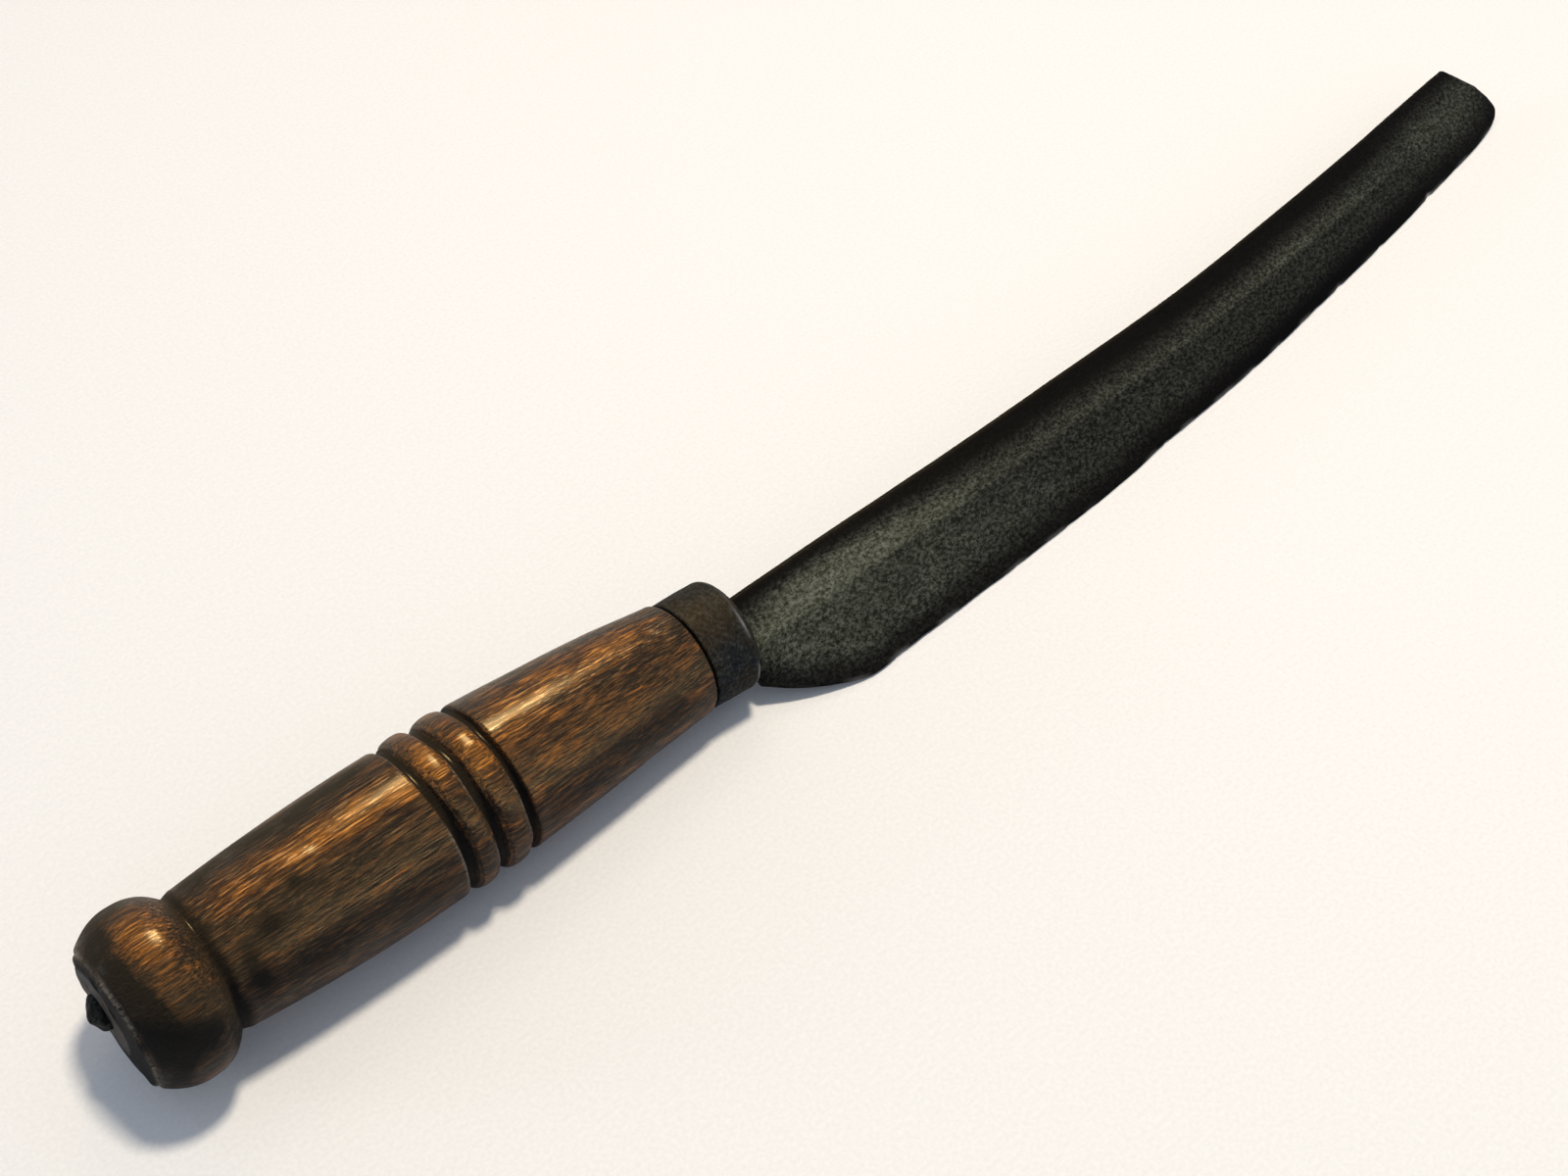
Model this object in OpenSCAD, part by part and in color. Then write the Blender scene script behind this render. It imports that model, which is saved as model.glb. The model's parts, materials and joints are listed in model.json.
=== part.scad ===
// One-handed drawknife: a long curved blade forged in one piece with its tang, a turned wooden
// handle, a steel ferrule, and a washer that the tang end is riveted over.
// The origin is on the handle's axis, midway along the wood that shows. The tool lies on a flat
// surface, resting on its beads, the heel and the tip, so its axis dips a little towards the tip.

/* [Handle] */
// Length of the handle's visible wood
handle_len = 136; // [120:1:150]
// Radius of the pommel at its widest
pommel_r = 18.7; // [18:0.1:20]
// Radius of the flat end of the pommel
butt_r = 14.4; // [13:0.1:15]
// Radius at the bottom of the neck behind the grip
neck_r = 14.4; // [13:0.1:15]
// Radius of the rear grip beside the neck
rear_grip_r = 15.1; // [14.6:0.1:16]
// Radius of the rear grip beside the beads
mid_grip_r = 17.3; // [16.5:0.1:18]
// Radius over the beads
bead_r = 18.2; // [17.5:0.1:18.5]
// Radius of the front grip beside the beads
front_grip_r = 17.2; // [16.8:0.1:18]
// Radius of the wood beside the ferrule
nose_r = 13.2; // [12.4:0.1:13.6]
// Radius at the bottom of the three turned grooves
groove_r = 15.8; // [15:0.1:16.4]

/* [Ferrule] */
// Length of the ferrule
ferrule_len = 13; // [10:0.5:18]
// Radius of the ferrule at the wood
ferrule_r = 12.9; // [12.5:0.1:14]
// Radius of the ferrule at its rounded front edge
ferrule_front_r = 13; // [12.4:0.1:13.2]
// Radius of the tenon inside the ferrule
tenon_r = 11; // [10:0.1:11.5]

/* [Blade] */
// Thickness of the blade along its back
blade_t = 4.4; // [3.5:0.1:5]
// Thickness left at the cutting edge
edge_t = 0.5; // [0.3:0.1:1]
// Width of the flat between the back and the bevel
flat_w = 12.5; // [11:0.5:14]
// Height of the middle of the blade above a straight line from heel to tip
bow = 2.6; // [0:0.1:4]
// Angle of the blade about the handle's axis as the tool lies, measured from level
blade_roll = 24.8; // [20:0.1:30]
// Angle that the axis dips towards the tip as the tool lies
axis_dip = 2.45; // [1:0.05:4]

/* [Tang and rivet] */
// Width of the tang where it leaves the blade
tang_w = 8; // [6:0.1:8.4]
// Thickness of the tang where it leaves the blade
tang_t = 5.4; // [4:0.1:5.6]
// How far the tang's end lies off the axis, towards the blade's back
tang_drift = 3.4; // [0:0.1:3.6]
// Radius of the round end of the tang
tang_end_r = 3; // [2.5:0.1:3.5]
// Radius of the riveted head
rivet_r = 4.4; // [4:0.1:5]
// Radius of the washer
washer_r = 9.6; // [8:0.1:10]
// Thickness of the washer
washer_t = 1.6; // [1.2:0.1:2]

/* [Hidden] */
$fn = 96;

wood_start = -handle_len / 2;
wood_end = handle_len / 2;
ferrule_end = wood_end + ferrule_len;
tenon_end = ferrule_end - 0.8;
tang_bore_r = 5;
washer_seat_depth = 0.8;
washer_face = wood_start + washer_seat_depth;
washer_clearance = 0.3;
washer_bore_gap = 0.02;
tenon_gap = 0.02;
rivet_h = 2.6;
tang_round_len = 10;
tang_overlap = 0.5;
drift_angle = atan(tang_drift / (ferrule_end - washer_face));

// Where the turned details lie along the axis
pommel_crown = -59;
neck_x = -49.8;
rear_grip_x = -47;
crown_x = -4;
groove_1 = [0, 2.5];
groove_2 = [7.5, 9.8];
groove_3 = [15.6, 17.7];

// Shape of the turned details
pommel_rear_curve = 2;
pommel_front_curve = 2.8;
bead_drop = 1;
bead_curve = 2.6;
groove_wall = 0.3;
groove_fillet = 0.4;
edge_round = 0.5;
front_grip_swell = 0.35;
ferrule_rear_bevel = 0.3;
ferrule_front_round = 1.3;

// The blade's outline from root to tip: the back's [x, y], then the edge's [x, y] opposite it
BLADE_STATIONS = [
    [[81, 4.8], [81, -14.6]],
    [[90, 5.1], [89, -20.3]],
    [[99, 5.4], [97, -24.2]],
    [[108, 5.7], [105, -26.6]],
    [[118, 5.9], [115, -26.1]],
    [[136, 6.1], [135, -25.4]],
    [[165, 6.6], [165, -24.4]],
    [[192, 7.4], [193, -23.0]],
    [[215, 8.1], [214, -20.6]],
    [[245, 9.6], [246, -18.1]],
    [[284, 13.0], [284, -13.5]],
    [[322, 17.0], [322, -8.2]],
    [[348, 20.1], [351, -3.8]],
    [[362, 21.8], [370, -0.7]],
    [[369, 22.6], [381, 2.4]],
    [[373, 23.0], [385.8, 5.6]],
    [[374.5, 23.2], [386.5, 9.5]]
];
last_station = len(BLADE_STATIONS) - 1;
steps_per_station = 4;

// Where along the axis the blade's bow, the fading of its bevel and the thinning of its tip lie
bow_span = [104, 380];
bevel_fade = [290, 350];
tip_span = [300, 375];

// Heights and widths in the blade's cross-section
tip_thinning = 0.6;
crease_rise = 0.2;
crease_drop = 1.4;
back_bevel_w = 0.7;
back_bevel_top = 0.6;
back_bevel_bottom = 0.4;

// Value that runs smoothly from 0 at a to 1 at b
function ease(x, a, b) = let (t = min(max((x - a) / (b - a), 0), 1)) t * t * (3 - 2 * t);

// Station i of the blade, or its first or last station where i runs past the end
function station(i) = BLADE_STATIONS[min(max(i, 0), last_station)];

// Smooth curve through column k of the stations, at station i plus fraction f
function station_curve(k, i, f) =
    let (
        p0 = station(i - 1)[k],
        p1 = station(i)[k],
        p2 = station(i + 1)[k],
        p3 = station(i + 2)[k],
        gap = norm(p2 - p1),
        slope_1 = (p2 - p0) / (norm(p1 - p0) + gap) * gap,
        slope_2 = (p3 - p1) / (norm(p3 - p2) + gap) * gap
    )
    p1 * (2 * f ^ 3 - 3 * f ^ 2 + 1) + slope_1 * (f ^ 3 - 2 * f ^ 2 + f)
    + p2 * (3 * f ^ 2 - 2 * f ^ 3) + slope_2 * (f ^ 3 - f ^ 2);

// One cross-section of the blade, as points around it, at back point s and edge point e
function blade_section(s, e) =
    let (
        along_bow = (s.x - bow_span[0]) / (bow_span[1] - bow_span[0]),
        lift = bow * sin(180 * min(max(along_bow, 0), 1)),
        low = lift - blade_t / 2,
        high = lift + blade_t / 2 - tip_thinning * ease(s.x, tip_span[0], tip_span[1]),
        across = (e - s) / norm(e - s),
        crease = s + across * flat_w,
        crease_h = high + crease_rise - crease_drop * ease(s.x, bevel_fade[0], bevel_fade[1]),
        inset = s + across * back_bevel_w
    )
    [
        [s.x, s.y, low + back_bevel_bottom],
        [s.x, s.y, high - back_bevel_top],
        [inset.x, inset.y, high],
        [crease.x, crease.y, crease_h],
        [e.x, e.y, low + edge_t],
        [e.x, e.y, low],
        [inset.x, inset.y, low]
    ];

BLADE_SECTIONS = [
    for (i = [0 : last_station - 1], j = [0 : steps_per_station - 1])
        let (f = j / steps_per_station)
        blade_section(station_curve(0, i, f), station_curve(1, i, f)),
    blade_section(BLADE_STATIONS[last_station][0], BLADE_STATIONS[last_station][1])
];

// Skin over a list of closed sections with the same number of points
module loft(sections) {
    n = len(sections[0]);
    m = len(sections);
    points = [for (s = sections) for (p = s) p];
    sides = [
        for (i = [0 : m - 2], j = [0 : n - 1])
            let (a = i * n + j, b = i * n + (j + 1) % n)
            each [[a, b + n, b], [a, a + n, b + n]]
    ];
    caps = [[for (j = [0 : n - 1]) j], [for (j = [n - 1 : -1 : 0]) (m - 1) * n + j]];
    polyhedron(points, concat(sides, caps), convexity = 4);
}

// Turns a tool laid out along X, with its edge towards -Y, to the way it lies on a surface
module lying() {
    rotate([0, axis_dip, 0]) rotate([blade_roll, 0, 0]) children();
}

// A solid of revolution about the X axis from an outline of [x, radius] points
module turned(outline) {
    rotate([0, 90, 0]) rotate_extrude() polygon([for (p = outline) [p[1], p[0]]]);
}

// Stands a shape made along +Z at x, pointing along +X, on the line that the tang's end lies on
module at_tang_end(x) {
    translate([x, tang_drift, 0]) rotate([0, 90, 0]) children();
}

// Outlines of the turned wood, each a list of [x, radius]
function pommel_outline() = [
    for (t = [0 : 0.125 : 1])
        let (x = wood_start + t * (pommel_crown - wood_start))
        [x, pommel_r - (pommel_r - butt_r) * (1 - t) ^ pommel_rear_curve],
    for (t = [0.125 : 0.125 : 1])
        let (x = pommel_crown + t * (neck_x - pommel_crown))
        [x, pommel_r - (pommel_r - neck_r) * t ^ pommel_front_curve]
];

function rear_grip_outline() = [
    for (t = [0 : 0.125 : 1])
        let (x = rear_grip_x + t * (crown_x - rear_grip_x))
        [x, mid_grip_r - (mid_grip_r - rear_grip_r) * (1 - t) ^ 2],
    [groove_1[0] - edge_round, mid_grip_r]
];

// A round-bottomed groove between the radii that meet it
function groove_outline(span, r_left, r_right) = [
    [span[0], r_left - edge_round],
    [span[0] + groove_wall, groove_r + groove_fillet],
    [(span[0] + span[1]) / 2, groove_r],
    [span[1] - groove_wall, groove_r + groove_fillet],
    [span[1], r_right - edge_round]
];

// A crowned bead between two grooves
function bead_outline(from, to) = [
    for (t = [0.12 : 0.19 : 0.88])
        [from + t * (to - from), bead_r - bead_drop * abs(2 * t - 1) ^ bead_curve]
];

function front_grip_outline() = [
    for (t = [0.015, 0.125, 0.25, 0.375, 0.5, 0.625, 0.75, 0.875, 1])
        let (x = groove_3[1] + t * (wood_end - groove_3[1]))
        [x, front_grip_r - (front_grip_r - nose_r) * t + front_grip_swell * sin(180 * t)]
];

module handle() {
    outline = concat(
        [[wood_start, 0]],
        pommel_outline(),
        rear_grip_outline(),
        groove_outline(groove_1, mid_grip_r, bead_r - bead_drop / 2),
        bead_outline(groove_1[1], groove_2[0]),
        groove_outline(groove_2, bead_r - bead_drop / 2, bead_r - bead_drop / 2),
        bead_outline(groove_2[1], groove_3[0]),
        groove_outline(groove_3, bead_r - bead_drop / 2, front_grip_r),
        front_grip_outline(),
        [[wood_end, tenon_r - tenon_gap], [tenon_end, tenon_r - tenon_gap], [tenon_end, 0]]
    );
    color("saddlebrown") lying() difference() {
        turned(outline);
        at_tang_end(wood_start - 1)
            cylinder(r = washer_r + washer_clearance, h = washer_seat_depth + 1);
        translate([ferrule_end, 0, 0]) rotate([0, -90, -drift_angle])
            cylinder(r = tang_bore_r, h = handle_len + 2 * ferrule_len);
    }
}

module ferrule() {
    outline = [
        [wood_end, tenon_r],
        [wood_end, ferrule_r - ferrule_rear_bevel],
        [wood_end + ferrule_rear_bevel, ferrule_r],
        for (a = [0 : 22.5 : 90])
            [
                ferrule_end - ferrule_front_round * (1 - sin(a)),
                ferrule_front_r - ferrule_front_round * (1 - cos(a))
            ],
        [ferrule_end, tenon_r]
    ];
    color("dimgray") lying() turned(outline);
}

module tang() {
    hull() {
        translate([ferrule_end, -tang_w / 2, -tang_t / 2]) cube([tang_overlap, tang_w, tang_t]);
        at_tang_end(washer_face + tang_round_len) cylinder(r = tang_end_r, h = tang_overlap);
    }
    at_tang_end(washer_face - washer_t)
        cylinder(r = tang_end_r, h = washer_t + tang_round_len + tang_overlap);
    at_tang_end(washer_face - washer_t) rotate([0, 180, 0]) rotate_extrude()
        polygon([[0, 0], for (a = [0 : 15 : 90]) [rivet_r * cos(a), rivet_h * sin(a)]]);
}

module blade() {
    color("darkslategray") lying() union() {
        loft(BLADE_SECTIONS);
        tang();
    }
}

module tang_washer() {
    color("gray") lying() difference() {
        at_tang_end(washer_face - washer_t) cylinder(r = washer_r, h = washer_t);
        at_tang_end(washer_face - washer_t - 1)
            cylinder(r = tang_end_r + washer_bore_gap, h = washer_t + 2);
    }
}

blade();
ferrule();
handle();
tang_washer();
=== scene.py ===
"""A one-handed drawknife lying on a pale table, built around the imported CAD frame."""

import json
import math

import bmesh
import bpy
import numpy as np
from mathutils import Matrix, Vector


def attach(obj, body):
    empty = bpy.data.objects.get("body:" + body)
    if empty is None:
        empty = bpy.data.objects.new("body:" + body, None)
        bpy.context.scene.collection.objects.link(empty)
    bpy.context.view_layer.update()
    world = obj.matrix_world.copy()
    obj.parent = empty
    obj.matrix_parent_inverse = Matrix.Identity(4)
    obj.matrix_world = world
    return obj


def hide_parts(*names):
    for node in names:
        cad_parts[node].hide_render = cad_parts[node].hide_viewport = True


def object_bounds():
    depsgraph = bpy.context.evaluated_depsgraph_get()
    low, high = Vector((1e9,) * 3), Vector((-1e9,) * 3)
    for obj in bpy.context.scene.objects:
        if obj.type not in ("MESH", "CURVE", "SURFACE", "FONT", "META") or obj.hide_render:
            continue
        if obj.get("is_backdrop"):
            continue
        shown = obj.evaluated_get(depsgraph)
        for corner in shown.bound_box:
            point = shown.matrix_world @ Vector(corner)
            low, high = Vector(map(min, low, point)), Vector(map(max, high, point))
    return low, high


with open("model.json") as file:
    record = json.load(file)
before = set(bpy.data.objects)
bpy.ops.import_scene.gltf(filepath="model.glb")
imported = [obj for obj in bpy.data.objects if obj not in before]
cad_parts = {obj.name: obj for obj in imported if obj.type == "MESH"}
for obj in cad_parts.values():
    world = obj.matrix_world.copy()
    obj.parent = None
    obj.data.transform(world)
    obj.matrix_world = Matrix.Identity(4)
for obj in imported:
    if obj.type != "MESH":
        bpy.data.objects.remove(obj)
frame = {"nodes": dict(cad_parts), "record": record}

CAD_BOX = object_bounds()
MM = 0.001

# ---------------------------------------------------------------- the tool's own axes
# Shapes are made in tool axes, in millimetres: +X along the handle's axis towards the tip, the
# cutting edge towards -Y, the bevelled face up (+Z). LIE turns them to the way the tool lies.
GRIP = next(m for m in frame["record"]["mounts"] if m["name"] == "grip")
AXIS = -Vector(GRIP["axis"])
AXIS_DIP = math.atan2(-AXIS.z, AXIS.x)
BLADE_ROLL = math.radians(24.8)
LIE = Matrix.Rotation(AXIS_DIP, 3, "Y") @ Matrix.Rotation(BLADE_ROLL, 3, "X")
LIE_ARRAY = np.array(LIE)


def along_axis(node):
    """Lowest and highest place of a CAD node along the handle's axis, in millimetres."""
    places = [AXIS.dot(v.co) / MM for v in frame["nodes"][node].data.vertices]
    return min(places), max(places)


WOOD_START, TENON_END = along_axis("handle")
WOOD_END, FERRULE_END = along_axis("ferrule")


def smooth(x, a, b):
    """Runs smoothly from 0 at a to 1 at b; x may be an array."""
    t = np.clip((x - a) / (b - a), 0.0, 1.0)
    return t * t * (3 - 2 * t)


def bump(x, centre, width):
    """A smooth hump of height 1 at centre."""
    return np.exp(-(((x - centre) / width) ** 2))


def waves(seed, count, low, high, *coords):
    """Smooth seeded noise: a sum of sine waves over the coordinates, about -1 to 1."""
    rng = np.random.default_rng(seed)
    total = np.zeros(np.broadcast(*coords).shape)
    for _ in range(count):
        frequency = rng.uniform(low, high) * rng.choice([-1, 1], size=len(coords))
        phase = rng.uniform(0, 2 * math.pi)
        total += np.sin(sum(f * c for f, c in zip(frequency, coords)) + phase)
    return total / math.sqrt(count)


# ---------------------------------------------------------------- making meshes


def mesh_object(name, points, faces, node, material):
    """Makes a piece from points in tool axes (mm) and faces, attaches it to the root body and hides its CAD
    node.
    """
    mesh = bpy.data.meshes.new(name)
    mesh.from_pydata((points @ LIE_ARRAY.T * MM).tolist(), [], faces)
    mesh.materials.append(material)
    mesh.update()
    bm = bmesh.new()
    bm.from_mesh(mesh)
    bmesh.ops.recalc_face_normals(bm, faces=bm.faces)
    bm.to_mesh(mesh)
    bm.free()
    mesh.shade_smooth()
    piece = bpy.data.objects.new(name, mesh)
    bpy.context.collection.objects.link(piece)
    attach(piece, "root")
    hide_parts(node)
    return piece


def ring_faces(rings, around, closed_ends=True):
    """Quads over a grid of rings, each ring closed, with an n-gon over each end if asked."""
    faces = []
    for i in range(rings - 1):
        for j in range(around):
            k = (j + 1) % around
            faces.append((i * around + j, i * around + k, (i + 1) * around + k, (i + 1) * around + j))
    if closed_ends:
        faces.append(tuple(range(around - 1, -1, -1)))
        faces.append(tuple((rings - 1) * around + j for j in range(around)))
    return faces


def lathe(outline, around):
    """Turns [x, radius] points about the handle's axis: x, radius and angle of every vertex."""
    angle = np.arange(around) * 2 * math.pi / around
    x = np.repeat(outline[:, 0], around)
    r = np.repeat(outline[:, 1], around)
    return x, r, np.tile(angle, len(outline))


def spaced(a, b, step):
    """Evenly spaced values from a to b, about step apart."""
    return np.linspace(a, b, max(2, int(round(abs(b - a) / step)) + 1))


def rear_edge(x, r, size, step):
    """Outline of a rounded edge that turns from facing the butt to facing outwards."""
    return [(x + size * (1 - math.cos(a)), r - size + size * math.sin(a))
            for a in np.radians(np.arange(0, 91, step))]


def front_edge(x, r, size, step, start=0):
    """Outline of a rounded edge that turns from facing outwards to facing the tip."""
    return [(x - size + size * math.sin(a), r - size + size * math.cos(a))
            for a in np.radians(np.arange(start, 91, step))]


def turn(degrees, around):
    """Degrees past the direction around, between -180 and 180."""
    return (degrees - around + 180) % 360 - 180


def add_attributes(piece, points, **values):
    """Stores tool-axis places (mm) and named values on a piece's vertices for its material."""
    place = piece.data.attributes.new("tool_mm", "FLOAT_VECTOR", "POINT")
    place.data.foreach_set("vector", points.astype(np.float32).ravel())
    for name, numbers in values.items():
        layer = piece.data.attributes.new(name, "FLOAT", "POINT")
        layer.data.foreach_set("value", numbers.astype(np.float32).ravel())


# ---------------------------------------------------------------- materials


class Nodes:
    """A material's node tree, with short calls for the nodes that the finishes are built from."""

    def __init__(self, name):
        self.material = bpy.data.materials.new(name)
        self.material.use_nodes = True
        self.tree = self.material.node_tree
        self.shader = self.tree.nodes["Principled BSDF"]

    def add(self, kind, **inputs):
        """A new node with its inputs linked or set; an underscore stands for a space in a name."""
        node = self.tree.nodes.new(kind)
        for key, value in inputs.items():
            self.put(node.inputs[key.replace("_", " ")], value)
        return node

    def put(self, socket, value):
        """Links a socket into another, or sets it to a constant."""
        if isinstance(value, bpy.types.NodeSocket):
            self.tree.links.new(value, socket)
        elif isinstance(value, tuple) and len(value) == 3 and socket.type == "RGBA":
            socket.default_value = (*value, 1.0)
        else:
            socket.default_value = value

    def attribute(self, name):
        node = self.tree.nodes.new("ShaderNodeAttribute")
        node.attribute_name = name
        return node

    def place(self, stretch, shift=(0, 0, 0)):
        """Tool-axis coordinates in millimetres, multiplied by stretch."""
        millimetres = self.attribute("tool_mm").outputs["Vector"]
        return self.add("ShaderNodeMapping", Vector=millimetres, Scale=stretch, Location=shift).outputs[0]

    def value(self, name):
        """A value that add_attributes stored on the piece."""
        return self.attribute(name).outputs["Fac"]

    def noise(self, vector, scale=1.0, detail=4.0, roughness=0.55, distortion=0.0):
        node = self.add("ShaderNodeTexNoise", Vector=vector, Scale=scale, Detail=detail,
                        Roughness=roughness, Distortion=distortion)
        return node.outputs["Fac"]

    def voronoi(self, vector):
        return self.add("ShaderNodeTexVoronoi", Vector=vector, Scale=1.0).outputs["Distance"]

    def ramp(self, fac, *stops):
        """Colour or grey ramp: each stop is (place, grey or (r, g, b))."""
        node = self.tree.nodes.new("ShaderNodeValToRGB")
        elements = node.color_ramp.elements
        while len(elements) < len(stops):
            elements.new(1.0)
        for element, (where, colour) in zip(elements, stops):
            element.position = where
            rgb = colour if isinstance(colour, tuple) else (colour,) * 3
            element.color = (*rgb, 1.0)
        self.put(node.inputs["Fac"], fac)
        return node.outputs["Color"]

    def mix(self, fac, a, b):
        node = self.tree.nodes.new("ShaderNodeMix")
        node.data_type = "RGBA"
        node.clamp_factor = True
        self.put(node.inputs[0], fac)
        self.put(node.inputs[6], a)
        self.put(node.inputs[7], b)
        return node.outputs[2]

    def math(self, how, a, b, clamp=False):
        node = self.tree.nodes.new("ShaderNodeMath")
        node.operation = how
        node.use_clamp = clamp
        self.put(node.inputs[0], a)
        self.put(node.inputs[1], b)
        return node.outputs[0]

    def bump(self, height, distance_mm, strength):
        node = self.add("ShaderNodeBump", Strength=strength, Distance=distance_mm * MM, Height=height)
        return node.outputs[0]

    def finish(self, colour, roughness, normal, **constants):
        self.put(self.shader.inputs["Base Color"], colour)
        self.put(self.shader.inputs["Roughness"], roughness)
        self.put(self.shader.inputs["Normal"], normal)
        for key, number in constants.items():
            self.shader.inputs[key.replace("_", " ")].default_value = number
        return self.material


def old_turned_wood():
    """Dark stained open-grained hardwood, polished by hands, dirty in the turned grooves; painted highlights
    lighten its top and rims, and painted shade darkens its grooves, joints and lower side.
    """
    pale_fleck, olive_tint, pale_worn_and_glint = (0.30, 0.175, 0.070), (0.028, 0.029, 0.011), (0.26, 0.23, 0.19)
    grain_black, pore_black = (0.0075, 0.0048, 0.0034), (0.0050, 0.0038, 0.0030)
    # Black for stains and painted shade, and black for dirt and painted shade in the hollows.
    stain_and_shade_black, grime_and_shade_black = (0.0040, 0.0036, 0.0026), (0.0030, 0.0026, 0.0024)

    n = Nodes("old_turned_wood")
    bands = n.noise(n.place((0.020, 0.17, 0.17)), detail=3, distortion=0.7)
    streaks = n.noise(n.place((0.11, 1.45, 1.45), (3, 0, 7)), detail=7, roughness=0.76)
    pores = n.noise(n.place((0.15, 2.1, 2.1), (0, 21, 0)), detail=5, roughness=0.66)
    mottle = n.noise(n.place((0.13, 0.24, 0.24), (11, 5, 0)), detail=6, roughness=0.68)
    fleck = n.noise(n.place((0.40, 2.8, 2.8), (5, 0, 2)), detail=4, roughness=0.8)
    grain = n.noise(n.place((0.05, 2.3, 2.3), (9, 4, 1)), detail=4, roughness=0.62)

    tone = n.math("ADD", n.math("MULTIPLY", bands, 0.30), n.math("MULTIPLY", streaks, 0.70))
    # Hand polish and a painted highlight along the handle's top lighten the wood.
    tone = n.math("ADD", tone, n.math("MULTIPLY", n.value("polish_and_highlight"), 0.19))
    tone = n.math("ADD", tone, 0.008)
    tone = n.math("ADD", tone, n.math("MULTIPLY", n.math("SUBTRACT", mottle, 0.5), 0.24))
    colour = n.ramp(tone, (0.42, (0.0055, 0.0036, 0.0024)), (0.48, (0.036, 0.0195, 0.0090)),
                    (0.54, (0.110, 0.046, 0.0150)), (0.62, (0.285, 0.095, 0.0150)),
                    (0.73, (0.66, 0.23, 0.026)))
    colour = n.mix(n.ramp(fleck, (0.51, 0.0), (0.68, 0.6)), colour, pale_fleck)
    colour = n.mix(n.ramp(mottle, (0.60, 0.0), (0.72, 0.55)), colour, olive_tint)
    line = n.math("MULTIPLY", n.ramp(grain, (0.50, 0.0), (0.58, 1.0)),
                  n.ramp(streaks, (0.35, 0.9), (0.65, 0.5)))
    colour = n.mix(line, colour, grain_black)
    pore_mask = n.ramp(pores, (0.515, 0.0), (0.560, 1.0))
    still_open = n.ramp(n.value("polish_and_highlight"), (0.0, 0.93), (1.0, 0.45))
    colour = n.mix(n.math("MULTIPLY", pore_mask, still_open), colour, pore_black)
    # Black stains and painted shade on the lower side and at the neck darken the wood.
    stain_and_shade = n.math("MULTIPLY", n.value("stain_and_shade"), n.ramp(mottle, (0.34, 0.6), (0.52, 1.4)), clamp=True)
    colour = n.mix(stain_and_shade, colour, stain_and_shade_black)
    # Dirt and painted shade darken the grooves, the neck, the joint with the ferrule and the butt.
    grime_and_shade = n.math("MULTIPLY", n.value("grime_and_shade"), n.ramp(fleck, (0.30, 0.9), (0.62, 1.1)), clamp=True)
    colour = n.mix(grime_and_shade, colour, grime_and_shade_black)
    # Worn pale rims, with a painted highlight along them.
    worn_and_glint = n.math("MULTIPLY", n.value("wear_and_glint"), n.ramp(streaks, (0.38, 0.0), (0.62, 1.0)), clamp=True)
    colour = n.mix(worn_and_glint, colour, pale_worn_and_glint)

    dull = n.math("MAXIMUM", grime_and_shade, n.math("MULTIPLY", stain_and_shade, 0.8))
    roughness = n.mix(dull, n.ramp(mottle, (0.3, 0.28), (0.7, 0.46)), (0.95, 0.95, 0.95))
    height = n.mix(0.45, n.ramp(pores, (0.46, 1.0), (0.60, 0.0)), n.ramp(grain, (0.48, 1.0), (0.62, 0.0)))
    return n.finish(colour, roughness, n.bump(height, 0.42, 1.0), Specular_IOR_Level=0.14,
                    Coat_Weight=0.05, Coat_Roughness=0.2)


def black_forged_steel():
    """Forge scale and old oil, nearly black, rubbed to a faint olive grey where hands and work reach, with a
    painted sheen on the upper face, lightest next to the crease.
    """
    olive_grey, scale_black = (0.180, 0.190, 0.145), (0.0016, 0.0016, 0.0018)
    scratch_grey, bare_steel = (0.090, 0.094, 0.082), (0.26, 0.25, 0.235)

    n = Nodes("black_forged_steel")
    cloud = n.noise(n.place((0.03, 0.08, 0.08)), detail=5, roughness=0.6, distortion=0.5)
    speck = n.noise(n.place((0.9, 1.2, 1.2), (3, 1, 0)), detail=6, roughness=0.85)
    scratch = n.noise(n.place((0.05, 2.2, 2.2), (0, 7, 0)), detail=3, roughness=0.7)
    pits = n.voronoi(n.place((0.7, 0.9, 0.9)))
    # Rubbed grey scale and a painted sheen: lightest on the flat next to the crease, darker on the bevel.
    rubbed = n.math("MULTIPLY", n.value("rubbed"), n.ramp(cloud, (0.30, 0.75), (0.70, 1.2)))
    colour = n.ramp(rubbed, (0.0, (0.0025, 0.0025, 0.0030)), (0.4, (0.0075, 0.0078, 0.0072)),
                    (0.75, (0.0210, 0.0225, 0.0158)), (1.0, (0.0420, 0.0450, 0.0290)))
    lift = n.math("MULTIPLY", n.ramp(speck, (0.46, 0.0), (0.68, 1.0)), rubbed, clamp=True)
    colour = n.mix(lift, colour, olive_grey)
    colour = n.mix(n.ramp(speck, (0.32, 0.95), (0.49, 0.0)), colour, scale_black)
    line = n.math("MULTIPLY", n.ramp(scratch, (0.62, 0.0), (0.80, 0.5)), rubbed, clamp=True)
    colour = n.mix(line, colour, scratch_grey)
    colour = n.mix(n.value("bare"), colour, bare_steel)
    roughness = n.ramp(speck, (0.3, 0.66), (0.7, 0.46))
    height = n.mix(0.4, speck, n.ramp(pits, (0.05, 0.0), (0.30, 1.0)))
    return n.finish(colour, roughness, n.bump(height, 0.12, 0.6), Specular_IOR_Level=0.02)


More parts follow.
